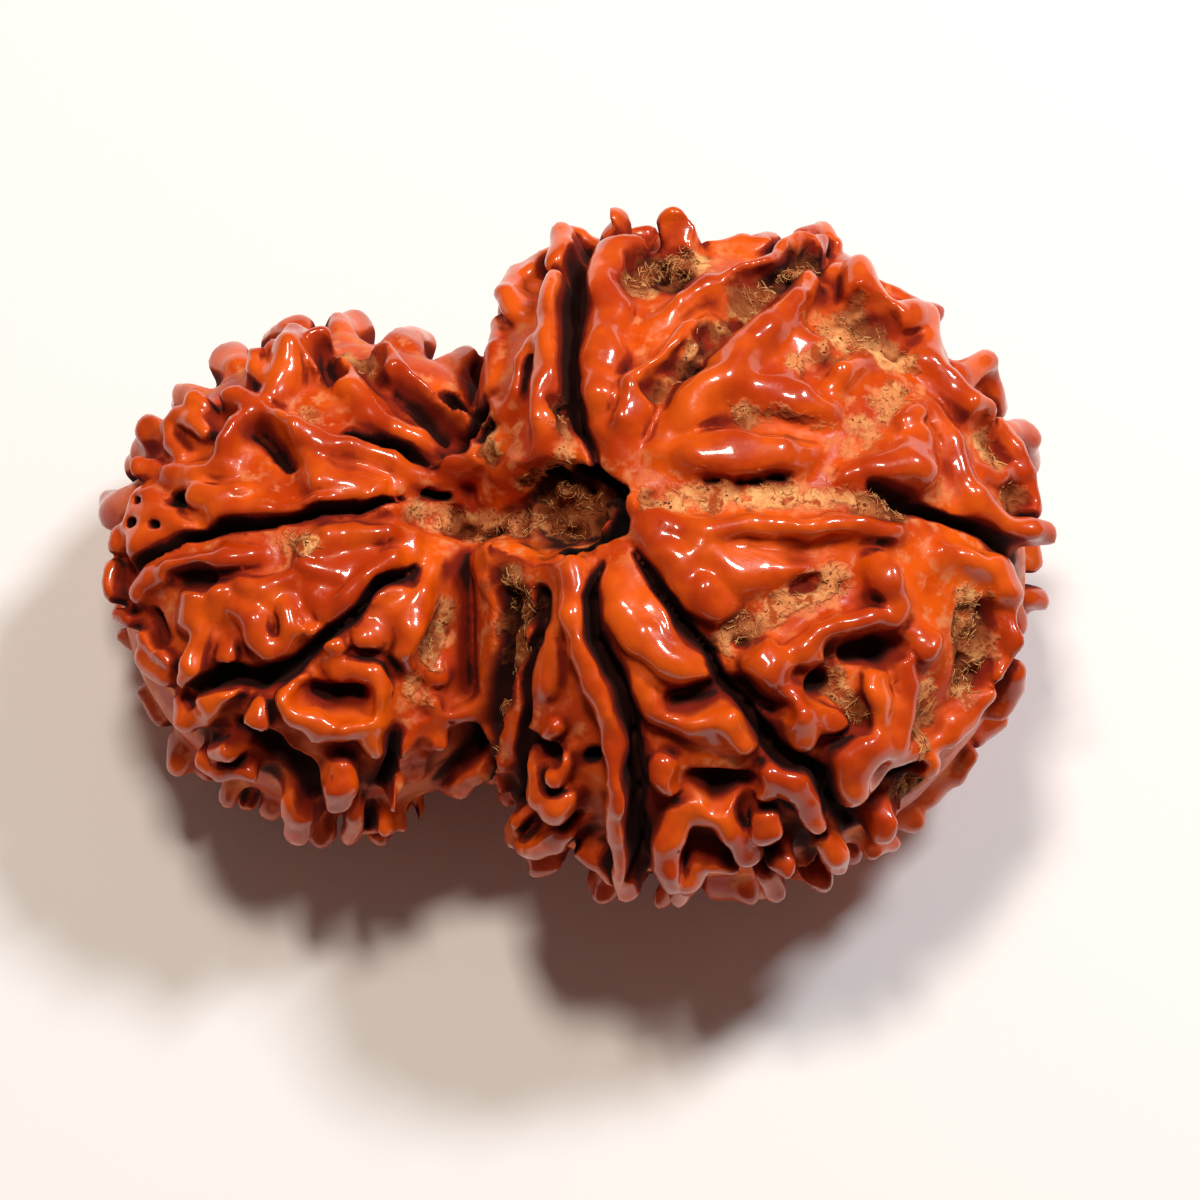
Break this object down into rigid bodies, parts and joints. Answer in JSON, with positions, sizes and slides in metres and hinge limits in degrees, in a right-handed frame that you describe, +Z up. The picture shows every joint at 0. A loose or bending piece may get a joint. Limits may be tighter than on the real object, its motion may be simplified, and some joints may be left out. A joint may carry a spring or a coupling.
{
  "type": "rudraksha seed",
  "caption": "Naturally joined twin rudraksha seed: two knobbly, deeply ribbed stony lobes grown together, one larger than the other, lying on low knobs.",
  "frame": {"origin": "under the middle of the seed's box, on the surface that it lies on", "axes": "+X along the length, from the smaller lobe to the larger; +Y across; +Z up, along the lobes' pole axes"},
  "size_m": [0.0358, 0.0268, 0.0184],
  "materials": {
    "seed": "glossy orange-brown stony ribs over a matt tan, fibrous floor, with near-black grooves"
  },
  "bodies": {
    "root": {"rudraksha_seed": "seed"}
  },
  "joints": []
}
